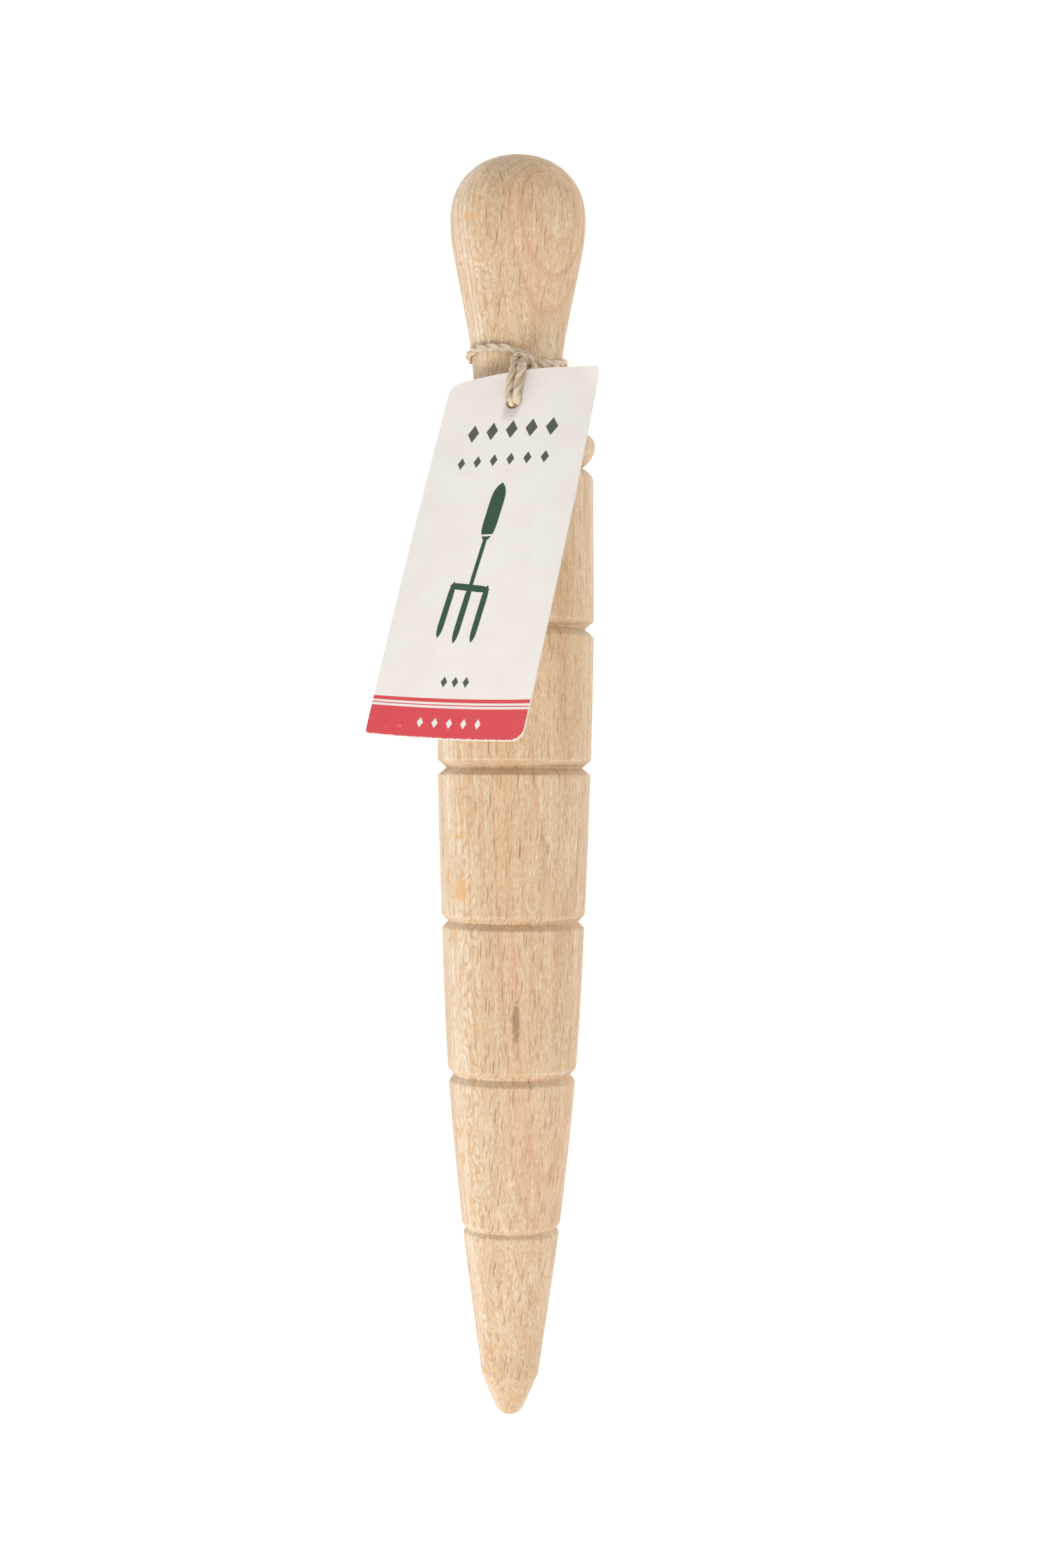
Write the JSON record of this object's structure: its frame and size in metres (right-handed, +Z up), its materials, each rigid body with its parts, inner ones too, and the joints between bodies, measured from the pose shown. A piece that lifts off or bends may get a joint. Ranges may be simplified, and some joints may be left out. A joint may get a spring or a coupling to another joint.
{
  "type": "bulb planter",
  "caption": "Turned wooden bulb dibber with a domed knob, waisted neck, bead, tapered shank with V-cut depth rings and a conical point, with a card swing tag tied on by twine.",
  "frame": {"origin": "on the surface the tool lies on, under its axis, at the tip's end", "axes": "+Y along the tool's axis from the tip to the knob, +Z up from the surface it lies on, +X to the right"},
  "size_m": [0.051, 0.2992, 0.0711],
  "materials": {
    "beech": "sanded, unvarnished",
    "twine": "two-ply natural fibre",
    "card": "matt uncoated card"
  },
  "bodies": {
    "dibber": {"dibber_body": "beech"},
    "neck_twine": {"neck_twine": "twine", "twine_knot": "twine"},
    "tag_loop": {"tag_loop": "twine"},
    "swing_tag": {"swing_tag": "card"}
  },
  "joints": [
    {"name": "twine_turn", "type": "hinge", "parent": "dibber", "child": "neck_twine", "pos_m": [0, 0.2511, 0.01867], "axis": [0, 1, 0], "continuous": true},
    {"name": "tag_lift", "type": "hinge", "parent": "neck_twine", "child": "tag_loop", "pos_m": [0.0012, 0.2497, 0.03226], "axis": [-1, 0, 0], "range_deg": [0, 110]},
    {"name": "tag_swing", "type": "hinge", "parent": "tag_loop", "child": "swing_tag", "pos_m": [-0.0005, 0.2377, 0.03839], "axis": [-0.5021, 0.3197, 0.8036], "range_deg": [-12, 25]}
  ]
}
